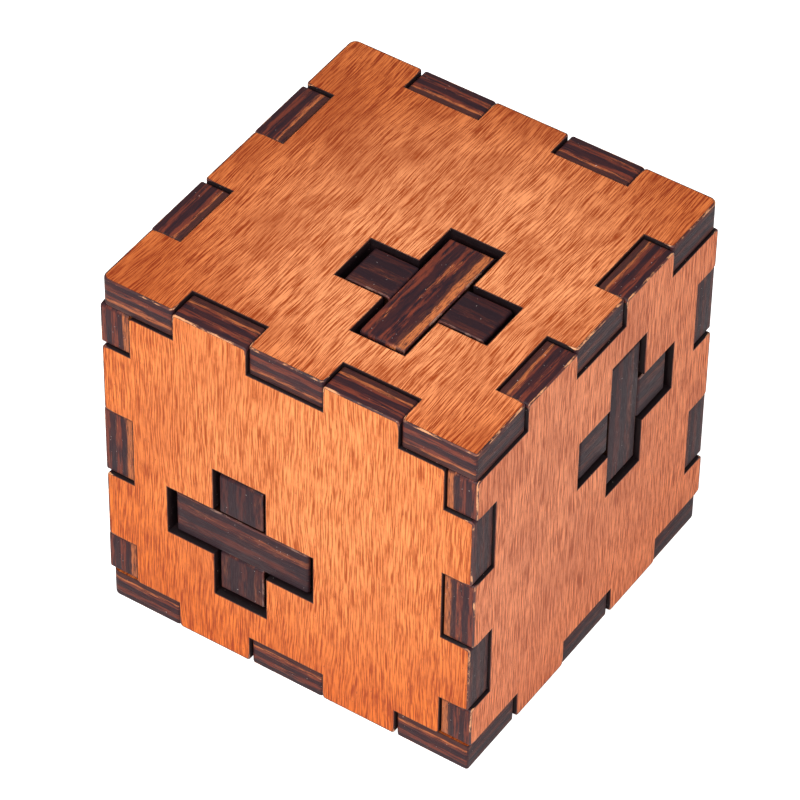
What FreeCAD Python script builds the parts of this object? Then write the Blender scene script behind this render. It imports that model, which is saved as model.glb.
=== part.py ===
import FreeCAD, Part
import os

# Wooden burr puzzle in a box: six finger-jointed plywood panels close a cube, and six thick
# boards run through plus-shaped holes in it, crossing one another in the middle.
# The origin is the centre of the bottom face. +Z is up, -Y the front, +X the right. Millimetres.

V = FreeCAD.Vector

# Box
EDGE = 58.0                  # outside edge of the finished cube
HALF = EDGE / 2
FINGERS = 5                  # equal pitches along every edge of a panel
PITCH = EDGE / FINGERS
SHEET = 4.5                  # thickness of a panel
NOTCH = 4.75                 # depth of the notches that take the next panel's fingers
RECESS = 0.3                 # how far a finger's end stops below the face beside it
FINGER_GAP = 0.15            # gap between two fingers side by side
FINGER_CORNER = 0.5          # radius on the corners of the fingers
BOX_CORNER = 1.1             # radius on the four corners of the top and the bottom
CRISP_CORNER = 0.4           # radius on the front right one of those four

# Boards
UNIT = EDGE / 8              # the boards are laid out on eighths of the cube
BOARD_T = 6.8                # thickness, a little under one unit
BOARD_W = 21.2               # width, a little under three units
BOARD_L = 57.0               # length, so that the ends stop below the faces
BOARD_CORNER = 0.5           # radius on a board's corners
SLOT_W = BOARD_T + 0.4       # width of the slot that straddles the partner board
SLOT_PAST = 1.0              # how far that slot runs past the middle of the board
PLAY = 1.5                   # travel that a crossing notch leaves its board
CROSS_GAP = 0.2              # gap on each side of a board in a crossing notch

# Holes
HOLE_W = 8.3                 # width of each arm of a plus hole
HOLE_L = 23.2                # length of each arm, end to end

# Where each pair of crossing boards has its axis, in units from the cube's centre
AXIS_Z = (1, -1)             # x, y of the pair that runs up and down
AXIS_Y = (-1, -1)            # x, z of the pair that runs front to back
AXIS_X = (1, 1)              # y, z of the pair that runs side to side


def arc_corner(before, corner, after, radius):
    """Start, middle and end of the arc that rounds a corner between two points."""
    to_before = (before - corner).normalize()
    to_after = (after - corner).normalize()
    start = corner + to_before * radius
    end = corner + to_after * radius
    centre = corner + (to_before + to_after) * radius
    middle = centre + (corner - centre).normalize() * radius
    return start, middle, end


def finger_radius(corner):
    """Radius for an outer corner of a panel's outline, from where the corner is."""
    nearly = HALF - RECESS - 0.01
    if abs(corner.x) < nearly or abs(corner.y) < nearly:
        return FINGER_CORNER
    if corner.x > 0 and corner.y < 0:
        return CRISP_CORNER
    return BOX_CORNER


def outline_face(points, rounded):
    """A flat face round the points, which run anticlockwise, its outer corners rounded or not."""
    edges = []
    last = None
    first = None
    count = len(points)
    for i, corner in enumerate(points):
        before = points[i - 1]
        after = points[(i + 1) % count]
        turn = (corner - before).cross(after - corner).z
        if turn > 0 and rounded:
            start, middle, end = arc_corner(before, corner, after, finger_radius(corner))
            edges.append(Part.Arc(start, middle, end).toShape())
        else:
            start = end = corner
        if last is None:
            first = start
        else:
            edges.append(Part.LineSegment(last, start).toShape())
        last = end
    edges.append(Part.LineSegment(last, first).toShape())
    wire = Part.Wire(Part.__sortEdges__(edges))
    return Part.Face(wire)


def edge_profile(out_pitches, reach):
    """(along, outward) corners of one edge of a panel: reach on out_pitches, notched elsewhere."""
    floor = HALF - NOTCH
    profile = []
    for i in range(FINGERS):
        out = i in out_pitches
        left = -HALF + i * PITCH
        right = left + PITCH
        shift = FINGER_GAP / 2 if out else -FINGER_GAP / 2
        height = reach if out else floor
        profile.append((left + shift, height))
        profile.append((right - shift, height))
    return profile


def panel_outline(u_pitches, v_pitches):
    """Corners of a panel: u_pitches stand out on its +u and -u edges, v_pitches on +v and -v."""
    reach = HALF - RECESS
    limit_u = reach if 0 in u_pitches else HALF - NOTCH
    limit_v = reach if 0 in v_pitches else HALF - NOTCH
    along_v = edge_profile(u_pitches, reach)
    along_u = edge_profile(v_pitches, reach)
    along_v[0] = (-limit_v, along_v[0][1])
    along_v[-1] = (limit_v, along_v[-1][1])
    inner_u = along_u[1:-1]
    right = [V(out, along, 0) for along, out in along_v]
    top = [V(-along, out, 0) for along, out in inner_u]
    left = [V(-out, -along, 0) for along, out in along_v]
    bottom = [V(along, -out, 0) for along, out in inner_u]
    return right + top + left + bottom


def plus_outline(centre_u, centre_v):
    """Corners of the plus-shaped hole about a centre."""
    w = HOLE_W / 2
    l = HOLE_L / 2
    corners = [(w, -l), (w, -w), (l, -w), (l, w), (w, w), (w, l),
               (-w, l), (-w, w), (-l, w), (-l, -w), (-w, -w), (-w, -l)]
    return [V(centre_u + u, centre_v + v, 0) for u, v in corners]


def flat_panel(u_pitches, v_pitches, hole):
    """A panel lying in the uv plane, its outer face at the top and its centre at the origin."""
    sheet = outline_face(panel_outline(u_pitches, v_pitches), True)
    sheet = sheet.extrude(V(0, 0, SHEET))
    plus = outline_face(plus_outline(hole[0] * UNIT, hole[1] * UNIT), False)
    plus = plus.extrude(V(0, 0, SHEET))
    return sheet.cut(plus)


def stand(flat, turn, side):
    """Put a flat panel on one side of the cube, then turn the cube's +Z side to where it goes."""
    lift = HALF - SHEET if side > 0 else -HALF
    flat.translate(V(0, 0, lift))
    flat.Placement = FreeCAD.Placement(V(0, 0, 0), turn).multiply(flat.Placement)
    return flat


def make_panels():
    """The six panels. The top and bottom own the corners, and the sides own the upright edges."""
    odd = (0, 2, 4)
    even = (1, 3)
    level = FreeCAD.Rotation()
    to_front = FreeCAD.Rotation(V(1, 0, 0), 90)        # +Z goes to -Y, u stays X, v goes to Z
    to_right = FreeCAD.Rotation(V(1, 1, 1), 120)       # +Z goes to +X, u goes to Y, v goes to Z
    return {
        "top_panel": stand(flat_panel(odd, odd, AXIS_Z), level, 1),
        "bottom_panel": stand(flat_panel(odd, odd, AXIS_Z), level, -1),
        "front_panel": stand(flat_panel(even, even, AXIS_Y), to_front, 1),
        "back_panel": stand(flat_panel(even, even, AXIS_Y), to_front, -1),
        "right_panel": stand(flat_panel(odd, even, AXIS_X), to_right, 1),
        "left_panel": stand(flat_panel(odd, even, AXIS_X), to_right, -1),
    }


def block(low, high):
    """A box between two corners, each given as x, y, z."""
    size = [b - a for a, b in zip(low, high)]
    return Part.makeBox(size[0], size[1], size[2], V(*low))


def board(run, thin, wide, centre):
    """A plain board: run, thin and wide are axis numbers, and centre is in units."""
    low = [c * UNIT for c in centre]
    high = list(low)
    for axis, size in ((run, BOARD_L), (thin, BOARD_T), (wide, BOARD_W)):
        low[axis] -= size / 2
        high[axis] += size / 2
    solid = block(low, high)
    corners = [e for e in solid.Edges if abs(e.Length - BOARD_T) < 1e-6]
    return solid.makeFillet(BOARD_CORNER, corners)


def cut_slot(solid, run, open_end, wide, wide_at):
    """Cut the slot for the partner board, from one end (+1 or -1) to just past the middle."""
    low = [-EDGE, -EDGE, -EDGE]
    high = [EDGE, EDGE, EDGE]
    low[wide] = wide_at * UNIT - SLOT_W / 2
    high[wide] = wide_at * UNIT + SLOT_W / 2
    if open_end > 0:
        low[run] = -SLOT_PAST
    else:
        high[run] = SLOT_PAST
    return solid.cut(block(low, high))


def cut_crossing(solid, run, travel, run_at, wide, wide_from, wide_to):
    """Cut an edge notch for a board that crosses, longer by PLAY against the board's travel."""
    low = [-EDGE, -EDGE, -EDGE]
    high = [EDGE, EDGE, EDGE]
    half = BOARD_T / 2 + CROSS_GAP
    low[run] = run_at * UNIT - half - (PLAY if travel > 0 else 0)
    high[run] = run_at * UNIT + half + (PLAY if travel < 0 else 0)
    low[wide] = wide_from * UNIT
    high[wide] = wide_to * UNIT
    return solid.cut(block(low, high))


def make_boards():
    """Three pairs. In each, one board is slotted from one end and its partner from the other."""
    x, y, z = 0, 1, 2
    boards = {}

    # Up and down: one board faces sideways and shows as the bar on top, the other is slotted there
    upright = board(z, x, y, (1, -1, 0))
    upright = cut_slot(upright, z, -1, y, -1)
    boards["upright_bar_board"] = cut_crossing(upright, z, 1, 1, y, -0.5, 1)
    upright = board(z, y, x, (1, -1, 0))
    upright = cut_slot(upright, z, 1, x, 1)
    boards["upright_slotted_board"] = cut_crossing(upright, z, 1, -1, x, -1, 0.5)

    # Front to back: the flat board shows as the bar in front
    deep = board(y, z, x, (-1, 0, -1))
    boards["front_bar_board"] = cut_slot(deep, y, 1, x, -1)
    deep = board(y, x, z, (-1, 0, -1))
    deep = cut_slot(deep, y, -1, z, -1)
    boards["front_slotted_board"] = cut_crossing(deep, y, 1, 1, z, -0.5, 1)

    # Side to side: the upright board shows as the bar on the right
    across = board(x, y, z, (0, 1, 1))
    boards["side_bar_board"] = cut_slot(across, x, -1, z, 1)
    across = board(x, z, y, (0, 1, 1))
    boards["side_slotted_board"] = cut_slot(across, x, 1, y, 1)
    return boards


parts = make_panels()
parts.update(make_boards())

os.makedirs("parts", exist_ok=True)
for name, solid in parts.items():
    solid.translate(V(0, 0, HALF))
    solid.exportStep("parts/" + name + ".step")
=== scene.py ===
import math

import bmesh
import bpy
from mathutils import Matrix, Vector


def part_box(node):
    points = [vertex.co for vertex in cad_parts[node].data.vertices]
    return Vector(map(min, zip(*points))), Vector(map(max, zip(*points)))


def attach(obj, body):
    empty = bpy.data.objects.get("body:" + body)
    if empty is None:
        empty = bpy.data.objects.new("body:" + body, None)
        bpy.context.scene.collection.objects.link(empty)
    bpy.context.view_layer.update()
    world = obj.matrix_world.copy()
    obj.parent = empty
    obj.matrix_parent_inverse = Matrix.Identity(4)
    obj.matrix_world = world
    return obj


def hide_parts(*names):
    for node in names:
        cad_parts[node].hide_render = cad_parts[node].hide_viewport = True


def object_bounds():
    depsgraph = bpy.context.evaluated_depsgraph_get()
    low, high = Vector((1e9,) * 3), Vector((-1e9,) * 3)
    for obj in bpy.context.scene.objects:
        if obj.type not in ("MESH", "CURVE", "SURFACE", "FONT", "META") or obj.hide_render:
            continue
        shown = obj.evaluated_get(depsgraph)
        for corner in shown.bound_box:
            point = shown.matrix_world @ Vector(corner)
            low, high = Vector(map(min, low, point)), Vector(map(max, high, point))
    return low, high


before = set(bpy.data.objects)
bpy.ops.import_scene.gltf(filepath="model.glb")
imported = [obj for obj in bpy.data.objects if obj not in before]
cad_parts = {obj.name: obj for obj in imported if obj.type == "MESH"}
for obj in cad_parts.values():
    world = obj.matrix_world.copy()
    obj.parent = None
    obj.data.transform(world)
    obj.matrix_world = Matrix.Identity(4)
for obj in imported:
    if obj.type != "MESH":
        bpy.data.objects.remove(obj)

# A take-apart wooden puzzle: six finger-jointed plywood panels closed round six crossing boards.
# Every panel and board is cut flat as a sheet, eased at its rims, and then stood in its place.

CAD_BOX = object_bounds()
MM = 0.001

# ---------------------------------------------------------------------------------------------
# Sizes. Lengths are in metres, and the outline of each piece follows the frame's own solids.
# ---------------------------------------------------------------------------------------------
EDGE = CAD_BOX[1][2] - CAD_BOX[0][2]         # outside edge of the cube
HALF = EDGE / 2
MIDDLE = Vector((0, 0, HALF))
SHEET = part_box("top_panel")[1][2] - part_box("top_panel")[0][2]
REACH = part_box("top_panel")[1][0]            # half width of a panel, to its finger ends
NOTCH = 4.75 * MM                            # depth of the notches between a panel's fingers
NOTCH_FLOOR = HALF - NOTCH                   # from the middle of the cube to the floor of a notch
FINGERS = 5
PITCH = EDGE / FINGERS
FINGER_GAP = 0.15 * MM

UNIT = EDGE / 8
HOLE_W = 8.3 * MM
HOLE_L = 23.2 * MM

BAR_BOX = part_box("upright_bar_board")
BOARD_T = BAR_BOX[1][0] - BAR_BOX[0][0]
BOARD_W = BAR_BOX[1][1] - BAR_BOX[0][1]
BOARD_L = BAR_BOX[1][2] - BAR_BOX[0][2]
SLOT_W = BOARD_T + 0.4 * MM
SLOT_PAST = 1.0 * MM
PLAY = 1.5 * MM
CROSS_GAP = 0.2 * MM

FINGER_CORNER = 0.5 * MM                     # outline corners of the fingers, and of the boards
BOX_CORNER = 1.1 * MM                        # the four corners of the top and the bottom
CRISP_CORNER = 0.4 * MM                      # the front right one of those four
SANDED = 0.20 * MM                           # rounding of a panel's outer rim
EASED = 0.06 * MM                            # rounding of every other rim
RIM_BAND = 0.18 * MM                         # width of the band of face beside a rim


# ---------------------------------------------------------------------------------------------
# Small helpers for modelling
# ---------------------------------------------------------------------------------------------
def start_edit(piece):
    """Make one object active and alone selected, and go into edit mode with nothing picked."""
    bpy.ops.object.select_all(action="DESELECT")
    piece.select_set(True)
    bpy.context.view_layer.objects.active = piece
    bpy.ops.object.mode_set(mode="EDIT")
    bpy.ops.mesh.select_all(action="DESELECT")


def end_edit():
    bpy.ops.object.mode_set(mode="OBJECT")


def pick_faces(piece, wanted):
    """Select the faces that pass a test, in edit mode."""
    bpy.ops.mesh.select_mode(type="FACE")
    bpy.ops.mesh.select_all(action="DESELECT")
    mesh = bmesh.from_edit_mesh(piece.data)
    for face in mesh.faces:
        face.select_set(wanted(face))
    bmesh.update_edit_mesh(piece.data)


def pick_edges(piece, wanted):
    """Select the edges that pass a test, in edit mode."""
    bpy.ops.mesh.select_mode(type="EDGE")
    bpy.ops.mesh.select_all(action="DESELECT")
    mesh = bmesh.from_edit_mesh(piece.data)
    for edge in mesh.edges:
        edge.select_set(wanted(edge))
    bmesh.update_edit_mesh(piece.data)


def inside(point, box, slack=0.0):
    """True if a point's x and y lie in a rectangle (left, bottom, right, top)."""
    left, bottom, right, top = box
    return (left - slack < point.x < right + slack) and (bottom - slack < point.y < top + slack)


def is_flat(face):
    return abs(face.normal.z) > 0.99


def is_wall(face):
    return abs(face.normal.z) < 0.01


# ---------------------------------------------------------------------------------------------
# Laser-cut sheets. Each is cut flat, face grain along Y and its outer face up, and then placed.
# ---------------------------------------------------------------------------------------------
def blank(name, wide, long, thick):
    """A flat blank of the sheet's outline, lying at the height of its outer face."""
    bpy.ops.object.select_all(action="DESELECT")
    bpy.ops.mesh.primitive_plane_add(size=1, location=(0, 0, thick))
    piece = bpy.context.active_object
    piece.name = name
    piece.data.name = name
    piece.scale = (wide, long, 1)
    bpy.ops.object.transform_apply(location=True, rotation=True, scale=True)
    return piece


def cut_openings(piece, openings):
    """Score the blank along the sides of every opening, and take out what lies inside one."""
    lines_x = sorted({round(x, 7) for box in openings for x in (box[0], box[2])})
    lines_y = sorted({round(y, 7) for box in openings for y in (box[1], box[3])})
    start_edit(piece)
    for x in lines_x:
        bpy.ops.mesh.select_all(action="SELECT")
        bpy.ops.mesh.bisect(plane_co=(x, 0, 0), plane_no=(1, 0, 0))
    for y in lines_y:
        bpy.ops.mesh.select_all(action="SELECT")
        bpy.ops.mesh.bisect(plane_co=(0, y, 0), plane_no=(0, 1, 0))

    def in_an_opening(face):
        centre = face.calc_center_median()
        return any(inside(centre, box) for box in openings)

    pick_faces(piece, in_an_opening)
    bpy.ops.mesh.delete(type="FACE")
    end_edit()


def thicken(piece, thick):
    """Pull the flat outline down into a solid, and join up the faces that scoring divided."""
    start_edit(piece)
    bpy.ops.mesh.select_all(action="SELECT")
    bpy.ops.mesh.extrude_region_move(TRANSFORM_OT_translate={"value": (0, 0, -thick)})
    bpy.ops.mesh.select_all(action="SELECT")
    bpy.ops.mesh.remove_doubles(threshold=1e-7)
    bpy.ops.mesh.normals_make_consistent(inside=False)
    bpy.ops.mesh.dissolve_limited(angle_limit=math.radians(0.5))
    end_edit()


def round_corners(piece, hole, crisp):
    """Round the upright outer edges: fingers a little, box corners more, one box corner less."""
    reach = max(vertex.co.x for vertex in piece.data.vertices) - 0.1 * MM

    def corner_kind(edge):
        if len(edge.link_faces) != 2 or not all(is_wall(face) for face in edge.link_faces):
            return None
        middle = (edge.verts[0].co + edge.verts[1].co) / 2
        if hole and inside(middle, hole, 0.1 * MM):
            return None
        if not edge.is_convex or edge.calc_face_angle() < 1.0:
            return None
        if crisp is None or min(abs(middle.x), abs(middle.y)) < reach:
            return "finger"
        if middle.x * crisp > 0 and middle.y < 0:
            return "crisp"
        return "box"

    start_edit(piece)
    for kind, radius in (("box", BOX_CORNER), ("crisp", CRISP_CORNER), ("finger", FINGER_CORNER)):
        pick_edges(piece, lambda edge: corner_kind(edge) == kind)
        if any(edge.select for edge in bmesh.from_edit_mesh(piece.data).edges):
            bpy.ops.mesh.bevel(offset=radius, segments=5, profile=0.5, affect="EDGES")
    end_edit()


def ease_rims(piece, thick):
    """Round the rims: the outermost ones as if sanded, those of notches and holes only a little."""
    reach_x = max(vertex.co.x for vertex in piece.data.vertices) - 1.2 * MM
    reach_y = max(vertex.co.y for vertex in piece.data.vertices) - 1.2 * MM

    def is_rim(edge):
        if len(edge.link_faces) != 2:
            return False
        first, second = edge.link_faces
        return (is_flat(first) and is_wall(second)) or (is_wall(first) and is_flat(second))

    def is_outermost(edge):
        middle = (edge.verts[0].co + edge.verts[1].co) / 2
        return middle.z > thick / 2 and (abs(middle.x) > reach_x or abs(middle.y) > reach_y)

    start_edit(piece)
    pick_edges(piece, lambda edge: is_rim(edge) and is_outermost(edge))
    bpy.ops.mesh.bevel(offset=SANDED, segments=3, profile=0.5, affect="EDGES", material=2)
    pick_edges(piece, is_rim)
    bpy.ops.mesh.bevel(offset=EASED, segments=2, profile=0.5, affect="EDGES")
    pick_faces(piece, is_flat)
    bpy.ops.mesh.inset(thickness=RIM_BAND, use_boundary=True, use_even_offset=True)
    end_edit()


def mark_sheet(piece, thick, seed, outer_grain_along_y):
    """Store what the wood materials read: place in the sheet, nearness to a rim, and cut."""
    mesh = piece.data
    mesh.attributes.new("sheet", "FLOAT_VECTOR", "POINT")
    mesh.attributes.new("rim", "FLOAT", "POINT")
    mesh.attributes.new("endcut", "FLOAT", "FACE")
    place = mesh.attributes["sheet"]
    rim = mesh.attributes["rim"]
    across = mesh.attributes["endcut"]
    inner = set()
    for face in mesh.polygons:
        if abs(face.normal.z) > 0.99 and narrowest(mesh, face) > 4 * RIM_BAND:
            inner.update(face.vertices)
    shift = Vector((seed * 0.137, seed * 0.071, 0))
    for vertex in mesh.vertices:
        spot = vertex.co + shift
        place.data[vertex.index].vector = (spot.x, spot.y, vertex.co.z / thick)
        rim.data[vertex.index].value = 0.0 if vertex.index in inner else 1.0
    for face in mesh.polygons:
        toward = abs(face.normal.y) if outer_grain_along_y else abs(face.normal.x)
        across.data[face.index].value = min(1.0, toward * 1.2)
        if face.material_index != 2:
            face.material_index = 0 if abs(face.normal.z) > 0.8 else 1


def narrowest(mesh, face):
    """The lesser side of a face's bounding rectangle."""
    xs = [mesh.vertices[i].co.x for i in face.vertices]
    ys = [mesh.vertices[i].co.y for i in face.vertices]
    return min(max(xs) - min(xs), max(ys) - min(ys))


def mark_burn_and_shade(piece, burn_and_shade, burn_and_shade_right):
    """Store how deeply each cut face is charred, with painted shade: darker facing right, where
    less light falls, and darkest inside a cut, where shade falls.
    """
    mesh = piece.data
    mesh.attributes.new("burn_and_shade", "FLOAT", "FACE")
    depth = mesh.attributes["burn_and_shade"]
    for face in mesh.polygons:
        depth_in = HALF - max(abs(axis) for axis in face.center - MIDDLE)
        # painted shade: cut faces more than 1.3 mm inside the cube are set fully dark
        buried = depth_in > 1.3 * MM
        if buried:
            depth.data[face.index].value = 1.0
        else:
            # painted shade: a cut face that faces right is set darker
            depth.data[face.index].value = burn_and_shade_right if face.normal.x > 0.7 else burn_and_shade


def cut_sheet(name, wide, long, thick, openings, hole, crisp, seed, outer_grain_along_y):
    """One laser-cut sheet, finished but still lying flat."""
    piece = blank(name, wide, long, thick)
    cut_openings(piece, openings)
    thicken(piece, thick)
    round_corners(piece, hole, crisp)
    for i in range(3):
        piece.data.materials.append(None)
    ease_rims(piece, thick)
    mark_sheet(piece, thick, seed, outer_grain_along_y)
    bpy.ops.object.select_all(action="DESELECT")
    piece.select_set(True)
    bpy.context.view_layer.objects.active = piece
    bpy.ops.object.shade_smooth_by_angle(angle=math.radians(35))
    return piece


def place(piece, matrix):
    """Turn and move a flat sheet to where it goes, and leave its place in its mesh."""
    bpy.ops.object.select_all(action="DESELECT")
    piece.select_set(True)
    bpy.context.view_layer.objects.active = piece
    piece.matrix_world = matrix
    bpy.ops.object.transform_apply(location=True, rotation=True, scale=True)


# ---------------------------------------------------------------------------------------------
# Panels
# ---------------------------------------------------------------------------------------------
def edge_notches(out_pitches):
    """(start, end) of every notch along one edge of a panel."""
    spans = []
    for i in range(FINGERS):
        if i in out_pitches:
            continue
        start = -HALF + i * PITCH - (FINGER_GAP / 2 if i > 0 else EDGE)
        end = -HALF + (i + 1) * PITCH + (FINGER_GAP / 2 if i < FINGERS - 1 else EDGE)
        spans.append((start, end))
    return spans


def panel_openings(u_pitches, v_pitches):
    """The rectangles cut from a square blank to leave the fingers on its four edges."""
    beyond = EDGE
    openings = []
    for start, end in edge_notches(u_pitches):
        openings.append((NOTCH_FLOOR, start, beyond, end))
        openings.append((-beyond, start, -NOTCH_FLOOR, end))
    for start, end in edge_notches(v_pitches):
        openings.append((start, NOTCH_FLOOR, end, beyond))
        openings.append((start, -beyond, end, -NOTCH_FLOOR))
    return openings


def plus_openings(centre):
    """The two slots of a plus-shaped hole, and the rectangle that holds them both."""
    u = centre[0] * UNIT
    v = centre[1] * UNIT
    wide = (u - HOLE_L / 2, v - HOLE_W / 2, u + HOLE_L / 2, v + HOLE_W / 2)
    tall = (u - HOLE_W / 2, v - HOLE_L / 2, u + HOLE_W / 2, v + HOLE_L / 2)
    whole = (wide[0], tall[1], wide[2], tall[3])
    return [wide, tall], whole


TO_FRONT = Matrix.Rotation(math.radians(90), 4, "X")          # up goes to the front
TO_RIGHT = Matrix.Rotation(math.radians(120), 4, Vector((1, 1, 1)))   # up goes to the right
LEVEL = Matrix.Identity(4)
ODD = (0, 2, 4)
EVEN = (1, 3)

# name, pitches that stand out on the two pairs of edges, hole centre in units, turn, side
PANELS = (
    ("bottom_panel", ODD, ODD, (1, -1), LEVEL, -1),
    ("top_panel", ODD, ODD, (1, -1), LEVEL, 1),
    ("front_panel", EVEN, EVEN, (-1, -1), TO_FRONT, 1),
    ("back_panel", EVEN, EVEN, (-1, -1), TO_FRONT, -1),
    ("right_panel", ODD, EVEN, (1, 1), TO_RIGHT, 1),
    ("left_panel", ODD, EVEN, (1, 1), TO_RIGHT, -1),
)


def make_panel(name, u_pitches, v_pitches, centre, turn, side, seed):
    """A panel. On the far sides the sheet is turned over, so that its outer face is outside."""
    slots, hole = plus_openings(centre)
    if side < 0:
        # seen from outside, the far side's hole is mirrored across u
        slots, hole = plus_openings((-centre[0], centre[1]))
    openings = panel_openings(u_pitches, v_pitches) + slots
    piece = cut_sheet(name + "_wood", 2 * REACH, 2 * REACH, SHEET, openings, hole, side,
                      seed, True)
    lift = Matrix.Translation((0, 0, HALF - SHEET))
    flip = Matrix.Rotation(math.pi, 4, "Y") if side < 0 else Matrix.Identity(4)
    place(piece, Matrix.Translation(MIDDLE) @ turn @ flip @ lift)
    mark_burn_and_shade(piece, 0.20, 0.78)
    return piece


# ---------------------------------------------------------------------------------------------
# Boards. Flat, a board's length is along Y and its width along X.
# ---------------------------------------------------------------------------------------------
def slot_opening(open_end):
    """The slot for the partner board, from one end (+1 or -1) to just past the middle."""
    if open_end > 0:
        return (-SLOT_W / 2, -SLOT_PAST, SLOT_W / 2, EDGE)
    return (-SLOT_W / 2, -EDGE, SLOT_W / 2, SLOT_PAST)


def crossing_opening(width_side, along, travel):
    """The edge notch for a board that crosses one unit off the middle, with room for the play."""
    half = BOARD_T / 2 + CROSS_GAP
    low = along * UNIT - half - (PLAY if travel > 0 else 0)
    high = along * UNIT + half + (PLAY if travel < 0 else 0)
    if width_side > 0:
        return (UNIT / 2, low, EDGE, high)
    return (-EDGE, low, -UNIT / 2, high)


def axes_matrix(wide, long, thick, centre):
    """Places a flat sheet with its X, Y and Z along the given directions, about a centre."""
    turn = Matrix((wide, long, thick)).transposed().to_4x4()
    half_down = Matrix.Translation((0, 0, -BOARD_T / 2))
    at = Vector(centre) * UNIT + MIDDLE
    return Matrix.Translation(at) @ turn @ half_down


X, Y, Z = Vector((1, 0, 0)), Vector((0, 1, 0)), Vector((0, 0, 1))

# name, openings, directions of width, length and thickness, centre in units,
# whether the outer plies' grain runs along the board, and how deeply the cut is charred
BOARDS = (
    ("upright_bar_board", [slot_opening(-1), crossing_opening(1, 1, 1)],
     Y, Z, X, (1, -1, 0), False, 0.05),
    ("upright_slotted_board", [slot_opening(1), crossing_opening(-1, -1, 1)],
     X, Z, -Y, (1, -1, 0), False, 0.85),
    ("front_bar_board", [slot_opening(1)],
     -X, Y, Z, (-1, 0, -1), True, 0.66),
    ("front_slotted_board", [slot_opening(-1), crossing_opening(-1, 1, 1)],
     -Z, Y, X, (-1, 0, -1), False, 0.80),
    ("side_bar_board", [slot_opening(-1)],
     Z, X, Y, (0, 1, 1), True, 0.80),
    ("side_slotted_board", [slot_opening(1)],
     -Y, X, Z, (0, 1, 1), True, 0.82),
)


def make_board(name, openings, wide, long, thick, centre, grain_along, burn_and_shade, seed):
    """A thick board with its slot and, on three of them, a crossing notch."""
    piece = cut_sheet(name + "_wood", BOARD_W, BOARD_L, BOARD_T, openings, None, None,
                      seed, grain_along)
    place(piece, axes_matrix(wide, long, thick, centre))
    mark_burn_and_shade(piece, burn_and_shade, max(burn_and_shade, 0.6))
    return piece


# ---------------------------------------------------------------------------------------------
# Small helpers for materials
# ---------------------------------------------------------------------------------------------
def add(tree, kind, inputs=None, **settings):
    """Add a node, set its properties, and give its inputs a value or a link."""
    node = tree.nodes.new(kind)
    for key, value in settings.items():
        setattr(node, key, value)
    for key, value in (inputs or {}).items():
        if isinstance(value, bpy.types.NodeSocket):
            tree.links.new(value, node.inputs[key])
        else:
            node.inputs[key].default_value = value
    return node


def calc(tree, operation, first, second=0.0, third=0.0, clamp=False):
    """A Math node's result."""
    node = add(tree, "ShaderNodeMath", {0: first, 1: second, 2: third},
               operation=operation, use_clamp=clamp)
    return node.outputs[0]


def spread(tree, value, low, high, to_low=0.0, to_high=1.0):
    """A value's place between low and high, smoothed and held inside."""
    node = add(tree, "ShaderNodeMapRange",
               {"Value": value, "From Min": low, "From Max": high,
                "To Min": to_low, "To Max": to_high},
               interpolation_type="SMOOTHSTEP", clamp=True)
    return node.outputs["Result"]


def blend(tree, amount, first, second, kind="MIX"):
    """Two colours mixed by an amount."""
    node = add(tree, "ShaderNodeMix", {0: amount, 6: first, 7: second},
               data_type="RGBA", blend_type=kind, clamp_factor=True)
    return node.outputs[2]


def stretched_noise(tree, vector, scale, detail=3.0, roughness=0.55, distortion=0.0):
    """Noise whose spots are stretched by a separate scale on each axis."""
    mapped = add(tree, "ShaderNodeMapping", {"Vector": vector, "Scale": scale})
    noise = add(tree, "ShaderNodeTexNoise",
                {"Vector": mapped.outputs[0], "Scale": 1.0, "Detail": detail,
                 "Roughness": roughness, "Distortion": distortion})
    return noise.outputs["Fac"]


def new_group(name, inputs, outputs):
    """A shader node group with named sockets; returns it with its input and output nodes."""
    group = bpy.data.node_groups.new(name, "ShaderNodeTree")
    for label, kind, value in inputs:
        socket = group.interface.new_socket(name=label, in_out="INPUT", socket_type=kind)
        if value is not None:
            socket.default_value = value
    for label, kind in outputs:
        group.interface.new_socket(name=label, in_out="OUTPUT", socket_type=kind)
    source = group.nodes.new("NodeGroupInput").outputs
    target = group.nodes.new("NodeGroupOutput").inputs
    return group, source, target


def finish_group(group, target, results):
    for label, socket in results.items():
        group.links.new(socket, target[label])
    return group


FLOAT = "NodeSocketFloat"
COLOUR = "NodeSocketColor"
VECTOR = "NodeSocketVector"


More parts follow.
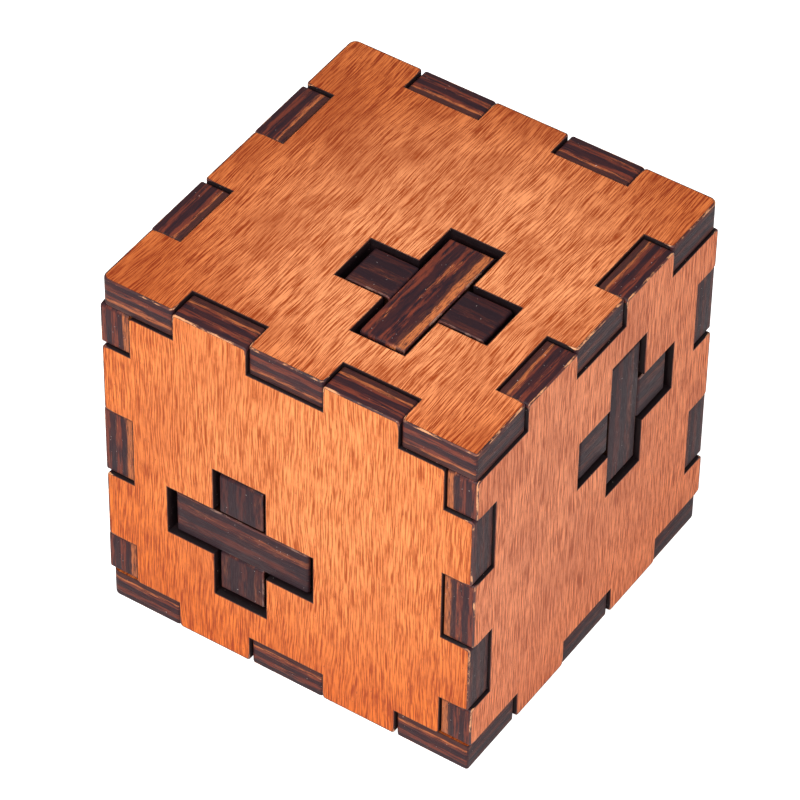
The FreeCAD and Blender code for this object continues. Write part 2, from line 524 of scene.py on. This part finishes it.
# ---------------------------------------------------------------------------------------------
# Effects that more than one wood uses
# ---------------------------------------------------------------------------------------------
def make_grain_group():
    """Rotary-cut veneer: fine fibres along the grain, growth streaks, blotches and pores."""
    group, source, target = new_group(
        "veneer_grain",
        [("Sheet", VECTOR, None), ("Pale", COLOUR, None), ("Stain", COLOUR, None),
         ("Fibre", COLOUR, None), ("Blotch", FLOAT, 0.5)],
        [("Color", COLOUR), ("Height", FLOAT), ("Gloss", FLOAT)])
    sheet = source["Sheet"]
    drift = stretched_noise(group, sheet, (70, 40, 1), 2.0)
    drift = calc(group, "MULTIPLY", calc(group, "SUBTRACT", drift, 0.5), 0.0024)
    sway = add(group, "ShaderNodeCombineXYZ", {"X": drift})
    wavy = add(group, "ShaderNodeVectorMath", {0: sheet, 1: sway.outputs[0]}, operation="ADD")
    wavy = wavy.outputs[0]

    tone = 0.56
    for scale, detail, weight in (((7600, 240, 1), 1.0, 0.88), ((4700, 110, 1), 1.0, 0.46),
                                  ((2500, 60, 1), 1.0, 0.22), ((1100, 30, 1), 2.0, 0.12),
                                  ((2600, 900, 1), 2.0, 0.20), ((330, 190, 1), 2.0, 0.12)):
        marks = stretched_noise(group, wavy, scale, detail, 0.55)
        marks = spread(group, marks, 0.38, 0.62, -0.5, 0.5)
        tone = calc(group, "MULTIPLY_ADD", marks, weight, tone)
    clouds = stretched_noise(group, sheet, (90, 62, 1), 3.0, 0.55)
    colour = blend(group, tone, source["Stain"], source["Pale"])
    cloud = calc(group, "MULTIPLY", spread(group, clouds, 0.56, 0.36), source["Blotch"])
    colour = blend(group, cloud, colour, source["Stain"])
    pores = stretched_noise(group, wavy, (4200, 1100, 1), 1.0, 0.5)
    dark = calc(group, "MULTIPLY", spread(group, pores, 0.70, 0.78), 0.6)
    colour = blend(group, dark, colour, source["Fibre"])
    height = calc(group, "SUBTRACT", tone, calc(group, "MULTIPLY", dark, 0.8))
    return finish_group(group, target, {"Color": colour, "Height": height, "Gloss": tone})


def make_rim_group():
    """Nearness to a cut edge, broken up: a ragged scorched line, and pale rubbed patches that are
    partly a painted highlight.
    """
    group, source, target = new_group(
        "rim_marks",
        [("Sheet", VECTOR, None), ("Rim", FLOAT, 0.0)],
        [("Scorch", FLOAT), ("Rub And Highlight", FLOAT)])
    ragged = stretched_noise(group, source["Sheet"], (3000, 3000, 1), 3.0, 0.6)
    near = calc(group, "MULTIPLY_ADD", ragged, 0.80, source["Rim"])
    scorch = spread(group, near, 0.92, 1.20)
    patch = stretched_noise(group, source["Sheet"], (420, 420, 9), 4.0, 0.65)
    rub_and_highlight = spread(group, patch, 0.50, 0.61)
    return finish_group(group, target, {"Scorch": scorch, "Rub And Highlight": rub_and_highlight})


def make_ply_group():
    """The cut edge of plywood: bands of long grain and end grain, charred and streaked, with
    painted glints, and painted shade where its burn-and-shade value is high.
    """
    group, source, target = new_group(
        "ply_edge",
        [("Sheet", VECTOR, None), ("Endcut", FLOAT, 0.0), ("Burn And Shade", FLOAT, 0.0),
         ("Plies", FLOAT, 5.0), ("Glow Side", FLOAT, 0.0), ("Char", COLOUR, None),
         ("Burnt", COLOUR, None), ("Glow", COLOUR, None)],
        [("Color", COLOUR), ("Height", FLOAT), ("Streak", FLOAT)])
    sheet = source["Sheet"]
    parts = add(group, "ShaderNodeSeparateXYZ", {0: sheet})
    wander = stretched_noise(group, sheet, (230, 230, 3.0), 3.0)
    level = calc(group, "MULTIPLY_ADD", calc(group, "SUBTRACT", wander, 0.5), 0.16,
                 parts.outputs["Z"])
    turns = calc(group, "MULTIPLY", level, source["Plies"])
    turns = calc(group, "MAXIMUM", calc(group, "MINIMUM", turns, 4.5), 0.5)
    # a triangle wave: 0 in the middle of the outer plies, 1 in the middle of the next ones
    wave = calc(group, "PINGPONG", calc(group, "SUBTRACT", turns, 0.5), 1.0)
    cross_ply = spread(group, wave, 0.40, 0.60)
    face_ply = calc(group, "SUBTRACT", 1.0, cross_ply)
    node = add(group, "ShaderNodeMix",
               {0: source["Endcut"], 2: face_ply, 3: cross_ply}, data_type="FLOAT")
    long_grain = node.outputs[0]

    streaks = stretched_noise(group, sheet, (260, 260, 15), 4.0, 0.62)
    threads = stretched_noise(group, sheet, (620, 620, 42), 3.0, 0.6)
    cloud = stretched_noise(group, sheet, (120, 120, 3.4), 2.0, 0.6)
    less_burn_and_shade = calc(group, "SUBTRACT", 1.0, source["Burn And Shade"])
    body = calc(group, "MULTIPLY_ADD", long_grain, 0.80, 0.14)
    lit = calc(group, "MULTIPLY", body, spread(group, streaks, 0.34, 0.60))
    lit = calc(group, "MULTIPLY", lit, calc(group, "MULTIPLY_ADD", less_burn_and_shade, 0.90, 0.10))
    colour = blend(group, lit, source["Char"], source["Burnt"])
    open_wood = calc(group, "ADD", calc(group, "MULTIPLY", threads, 0.55),
                     calc(group, "MULTIPLY", cloud, 0.45))
    off_side = calc(group, "ABSOLUTE", calc(group, "SUBTRACT", level, source["Glow Side"]))
    lean = spread(group, off_side, 0.14, 0.30, 0.20, -0.05)
    open_wood = calc(group, "MULTIPLY_ADD", lean, less_burn_and_shade, open_wood)
    bright = calc(group, "MULTIPLY", spread(group, open_wood, 0.52, 0.68), less_burn_and_shade)
    bright = calc(group, "MULTIPLY", bright, spread(group, threads, 0.36, 0.58, 0.35, 1.0))
    bright = calc(group, "MULTIPLY", bright, calc(group, "MULTIPLY_ADD", long_grain, 0.9, 0.1))
    colour = blend(group, bright, colour, source["Glow"])
    # painted shade: near black where the burn-and-shade value is highest, mostly on cut faces deep
    # inside the cube
    painted_shade_in_cuts = calc(group, "MULTIPLY", spread(group, source["Burn And Shade"], 0.80, 1.0), 0.8)
    colour = blend(group, painted_shade_in_cuts, colour, (0.004, 0.002, 0.002, 1))
    # painted glints: tiny pale specks of colour for sparkles of light on the rough edge
    painted_glint_noise = stretched_noise(group, sheet, (3600, 3600, 17), 1.0, 0.5)
    painted_glint = calc(group, "MULTIPLY", spread(group, painted_glint_noise, 0.765, 0.80), 0.55)
    colour = blend(group, painted_glint, colour, (0.72, 0.62, 0.58, 1))
    height = calc(group, "MULTIPLY_ADD", long_grain, 0.4, threads)
    return finish_group(group, target, {"Color": colour, "Height": height, "Streak": threads})


GRAIN = make_grain_group()
RIM = make_rim_group()
PLY = make_ply_group()


# ---------------------------------------------------------------------------------------------
# Woods
# ---------------------------------------------------------------------------------------------
def new_material(name):
    material = bpy.data.materials.new(name)
    material.use_nodes = True
    tree = material.node_tree
    tree.nodes.clear()
    output = tree.nodes.new("ShaderNodeOutputMaterial")
    shader = tree.nodes.new("ShaderNodeBsdfPrincipled")
    tree.links.new(shader.outputs[0], output.inputs["Surface"])
    return material, tree, shader


def piece_attribute(tree, name, output):
    node = add(tree, "ShaderNodeAttribute", attribute_type="GEOMETRY", attribute_name=name)
    return node.outputs[output]


def use_group(tree, group, inputs):
    node = tree.nodes.new("ShaderNodeGroup")
    node.node_tree = group
    for key, value in inputs.items():
        if isinstance(value, bpy.types.NodeSocket):
            tree.links.new(value, node.inputs[key])
        else:
            node.inputs[key].default_value = value
    return node.outputs


def bump(tree, height, strength, distance):
    node = add(tree, "ShaderNodeBump",
               {"Height": height, "Strength": strength, "Distance": distance})
    return node.outputs["Normal"]


def painted_falloff(tree, light_centre, near, far):
    """Painted shade: how far a face darkens from a bright centre out to its edges, standing in for
    the fall-off of the lamps' light.
    """
    place = add(tree, "ShaderNodeTexCoord").outputs["Object"]
    away = add(tree, "ShaderNodeVectorMath", {0: place, 1: light_centre}, operation="DISTANCE")
    return spread(tree, away.outputs["Value"], near, far)


def painted_shade_at_ends(tree, near, far):
    """Painted shade: how dark a board's faces are made towards its ends, where they sit in the
    shade of the panels' holes.
    """
    place = add(tree, "ShaderNodeTexCoord").outputs["Object"]
    centred = add(tree, "ShaderNodeVectorMath", {0: place, 1: MIDDLE}, operation="SUBTRACT")
    away = add(tree, "ShaderNodeVectorMath", {0: centred.outputs[0]}, operation="ABSOLUTE")
    away = add(tree, "ShaderNodeSeparateXYZ", {0: away.outputs[0]}).outputs
    farthest = calc(tree, "MAXIMUM", away["X"], calc(tree, "MAXIMUM", away["Y"], away["Z"]))
    return spread(tree, farthest, near, far)


def veneer(name, pale, stain, fibre, blotch, light_centre, near, far, shade_tint, deepest_shade):
    """The stained face of a sheet, its colour deepened from near to far off a bright centre:
    painted shade for the fall-off of the light.
    A face without such a centre is a board's, which gets painted shade towards its ends."""
    material, tree, shader = new_material(name)
    sheet = piece_attribute(tree, "sheet", "Vector")
    grain = use_group(tree, GRAIN, {"Sheet": sheet, "Pale": pale, "Stain": stain,
                                    "Fibre": fibre, "Blotch": blotch})
    rim = use_group(tree, RIM, {"Sheet": sheet, "Rim": piece_attribute(tree, "rim", "Fac")})
    if light_centre is None:
        outward = painted_shade_at_ends(tree, near, far)
    else:
        outward = painted_falloff(tree, light_centre, near, far)
    # painted shade: the face's colour deepens away from its bright centre, or towards a board's
    # ends
    painted_shade_amount = calc(tree, "MULTIPLY", outward, deepest_shade)
    colour = blend(tree, painted_shade_amount, grain["Color"], shade_tint, "MULTIPLY")
    scorched = calc(tree, "MULTIPLY", rim["Scorch"], 0.92)
    colour = blend(tree, scorched, colour, (0.035, 0.014, 0.012, 1))
    tree.links.new(colour, shader.inputs["Base Color"])
    rough = spread(tree, grain["Gloss"], 0.3, 0.7, 0.50, 0.38)
    tree.links.new(rough, shader.inputs["Roughness"])
    tree.links.new(bump(tree, grain["Height"], 0.30, 0.00006), shader.inputs["Normal"])
    shader.inputs["Specular IOR Level"].default_value = 0.30
    return material


def cut_edge(name, glow_side, char, burnt, glow):
    """The laser-cut edge of a sheet."""
    material, tree, shader = new_material(name)
    sheet = piece_attribute(tree, "sheet", "Vector")
    ply = use_group(tree, PLY, {"Sheet": sheet, "Endcut": piece_attribute(tree, "endcut", "Fac"),
                                "Burn And Shade": piece_attribute(tree, "burn_and_shade", "Fac"),
                                "Plies": 5.0, "Glow Side": glow_side, "Char": char,
                                "Burnt": burnt, "Glow": glow})
    tree.links.new(ply["Color"], shader.inputs["Base Color"])
    rough = spread(tree, ply["Streak"], 0.3, 0.7, 0.55, 0.34)
    tree.links.new(rough, shader.inputs["Roughness"])
    tree.links.new(bump(tree, ply["Height"], 0.5, 0.00008), shader.inputs["Normal"])
    shader.inputs["Specular IOR Level"].default_value = 0.24
    return material


def worn_rim(name, pale, dark):
    """The sanded rim between a face and its cut edge, scorched, and rubbed through in pale patches
    that are partly a painted highlight.
    """
    material, tree, shader = new_material(name)
    sheet = piece_attribute(tree, "sheet", "Vector")
    rim = use_group(tree, RIM, {"Sheet": sheet, "Rim": 1.0})
    ply = use_group(tree, PLY, {"Sheet": sheet, "Endcut": 0.5, "Burn And Shade": 0.2, "Plies": 5.0,
                                "Char": dark, "Burnt": BURNT, "Glow": GLOW})
    # pale patches: wood rubbed through, partly a painted highlight along the rim
    rubbed_and_highlit = calc(tree, "MULTIPLY", rim["Rub And Highlight"], 0.85)
    colour = blend(tree, rubbed_and_highlit, ply["Color"], pale)
    tree.links.new(colour, shader.inputs["Base Color"])
    rough = spread(tree, ply["Streak"], 0.3, 0.7, 0.50, 0.32)
    tree.links.new(rough, shader.inputs["Roughness"])
    tree.links.new(bump(tree, ply["Height"], 0.3, 0.00005), shader.inputs["Normal"])
    return material


CHAR = (0.022, 0.009, 0.015, 1)
BURNT = (0.225, 0.044, 0.022, 1)
GLOW = (0.60, 0.175, 0.055, 1)

# Front, top and side are one wood, given a tint per face to match how each face is lit: painted
# light and shade.
FRONT_VENEER = veneer(
    "front_veneer", pale=(1.00, 0.320, 0.092, 1), stain=(0.42, 0.070, 0.002, 1),
    fibre=(0.20, 0.020, 0.003, 1), blotch=0.22, light_centre=Vector((0.004, -HALF, 0.042)),
    near=0.008, far=0.046, shade_tint=(0.82, 0.52, 0.06, 1), deepest_shade=0.9)
TOP_VENEER = veneer(
    "top_veneer", pale=(1.00, 0.370, 0.150, 1), stain=(0.38, 0.060, 0.005, 1),
    fibre=(0.18, 0.020, 0.004, 1), blotch=0.38, light_centre=Vector((0.006, -0.003, EDGE)),
    near=0.013, far=0.037, shade_tint=(0.68, 0.43, 0.20, 1), deepest_shade=0.9)
# the side veneer's paler, bluer colour is a painted sheen
SIDE_VENEER = veneer(
    "side_veneer", pale=(0.98, 0.310, 0.122, 1), stain=(0.40, 0.072, 0.014, 1),
    fibre=(0.24, 0.036, 0.008, 1), blotch=0.30, light_centre=Vector((HALF, -0.008, 0.040)),
    near=0.006, far=0.052, shade_tint=(0.95, 0.76, 0.50, 1), deepest_shade=0.7)
# the board veneer's near-black tint is painted shade towards the board's ends
BOARD_VENEER = veneer(
    "board_veneer", pale=(0.62, 0.200, 0.065, 1), stain=(0.32, 0.066, 0.018, 1),
    fibre=(0.020, 0.008, 0.006, 1), blotch=0.60, light_centre=None,
    near=0.0235, far=0.0268, shade_tint=(0.020, 0.016, 0.020, 1), deepest_shade=0.98)
PANEL_EDGE = cut_edge("panel_cut_edge", 0.06, CHAR, BURNT, GLOW)
BOARD_EDGE = cut_edge("board_cut_edge", 0.92, CHAR, BURNT, GLOW)
PANEL_RIM = worn_rim("panel_rim", (0.86, 0.38, 0.17, 1), CHAR)
BOARD_RIM = worn_rim("board_rim", (0.30, 0.16, 0.12, 1), CHAR)


# ---------------------------------------------------------------------------------------------
# The pieces
# ---------------------------------------------------------------------------------------------
def dress(piece, node, woods):
    """Give a finished piece its woods, and tie it to the solid that it stands for."""
    for index, wood in enumerate(woods):
        piece.data.materials[index] = wood
    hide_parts(node)
    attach(piece, node)


VENEERS = {"top_panel": TOP_VENEER, "bottom_panel": TOP_VENEER,
           "front_panel": FRONT_VENEER, "back_panel": FRONT_VENEER,
           "right_panel": SIDE_VENEER, "left_panel": SIDE_VENEER}

for seed, (name, u_pitches, v_pitches, centre, turn, side) in enumerate(PANELS):
    panel = make_panel(name, u_pitches, v_pitches, centre, turn, side, seed + 1)
    dress(panel, name, (VENEERS[name], PANEL_EDGE, PANEL_RIM))

for seed, (name, *shape) in enumerate(BOARDS):
    board = make_board(name, *shape, seed + 11)
    dress(board, name, (BOARD_VENEER, BOARD_EDGE, BOARD_RIM))


# ---------------------------------------------------------------------------------------------
# Floor, light and camera
# ---------------------------------------------------------------------------------------------
def make_floor():
    bpy.ops.object.select_all(action="DESELECT")
    bpy.ops.mesh.primitive_plane_add(size=6.0, location=(0, 0, 0))
    floor = bpy.context.active_object
    floor.name = "floor"
    material, tree, shader = new_material("floor_paint")
    shader.inputs["Base Color"].default_value = (0.80, 0.80, 0.80, 1)
    shader.inputs["Roughness"].default_value = 0.9
    shader.inputs["Specular IOR Level"].default_value = 0.0
    shader.inputs["Emission Color"].default_value = (1, 1, 1, 1)
    ray = tree.nodes.new("ShaderNodeLightPath")
    tree.links.new(ray.outputs["Is Camera Ray"], shader.inputs["Emission Strength"])
    floor.data.materials.append(material)


def make_softbox(name, at, size, power):
    """A square soft light that faces the cube."""
    data = bpy.data.lights.new(name, "AREA")
    data.shape = "SQUARE"
    data.size = size
    data.energy = power
    lamp = bpy.data.objects.new(name, data)
    bpy.context.scene.collection.objects.link(lamp)
    lamp.location = at
    lamp.rotation_euler = (MIDDLE - Vector(at)).to_track_quat("-Z", "Y").to_euler()


def make_world(strength):
    world = bpy.data.worlds.new("studio")
    world.use_nodes = True
    background = world.node_tree.nodes["Background"]
    background.inputs["Color"].default_value = (1, 1, 1, 1)
    background.inputs["Strength"].default_value = strength
    bpy.context.scene.world = world


CAMERA_AZIMUTH = math.radians(32.995)
CAMERA_HEIGHT = math.radians(44.081)
CAMERA_DISTANCE = 11.479 * EDGE
CAMERA_ROLL = math.radians(0.949)
LOOK_AT = Vector((-1.04 * MM, -0.73 * MM, 28.96 * MM))
LENS = 225.69


def make_camera():
    data = bpy.data.cameras.new("camera")
    data.lens = LENS
    data.sensor_width = 36.0
    data.clip_end = 10.0
    camera = bpy.data.objects.new("camera", data)
    bpy.context.scene.collection.objects.link(camera)
    level = math.cos(CAMERA_HEIGHT)
    away = Vector((level * math.sin(CAMERA_AZIMUTH), -level * math.cos(CAMERA_AZIMUTH),
                   math.sin(CAMERA_HEIGHT)))
    camera.location = MIDDLE + away * CAMERA_DISTANCE
    look = (LOOK_AT - camera.location).to_track_quat("-Z", "Y").to_matrix().to_4x4()
    roll = Matrix.Rotation(CAMERA_ROLL, 4, "Z")
    camera.matrix_world = Matrix.Translation(camera.location) @ look @ roll
    bpy.context.scene.camera = camera


make_floor()
make_world(0.30)
make_softbox("key_light", (0.02, -0.29, 0.25), 0.20, 0.92)
make_softbox("side_light", (0.42, -0.08, 0.22), 0.22, 0.70)
make_softbox("top_light", (0.02, -0.14, 0.46), 0.30, 0.76)
make_camera()
bpy.context.scene.view_settings.view_transform = "Standard"
